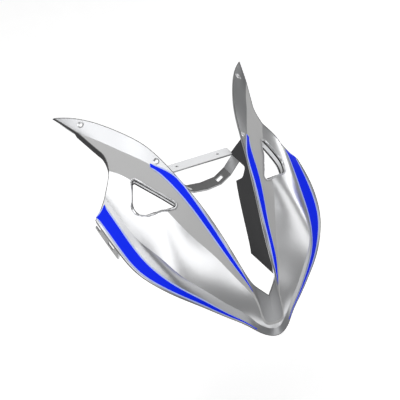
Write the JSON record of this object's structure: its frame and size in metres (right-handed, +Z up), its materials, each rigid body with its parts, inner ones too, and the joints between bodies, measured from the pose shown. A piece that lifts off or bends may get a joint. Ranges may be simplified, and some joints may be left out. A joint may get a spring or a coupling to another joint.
{
  "type": "windscreen trim panel",
  "caption": "V-shaped moulded trim panel for the front of a motorbike, with swept wings, a collared opening in each wing, a screw bridge behind and stick-on stripes.",
  "frame": {"origin": "midway between the two screw holes of the bridge bar, on its top face", "axes": "+X across the bike, to the right as seen from its front, +Y to the rear of the bike, +Z up"},
  "size_m": [0.396, 0.449, 0.26],
  "materials": {
    "silver_panel": "gloss silver",
    "blue_film": "gloss printed film"
  },
  "bodies": {
    "root": {"trim_panel": "silver_panel", "upper_stripe_right": "blue_film", "upper_stripe_left": "blue_film", "lower_stripe_right": "blue_film", "lower_stripe_left": "blue_film"}
  },
  "joints": []
}
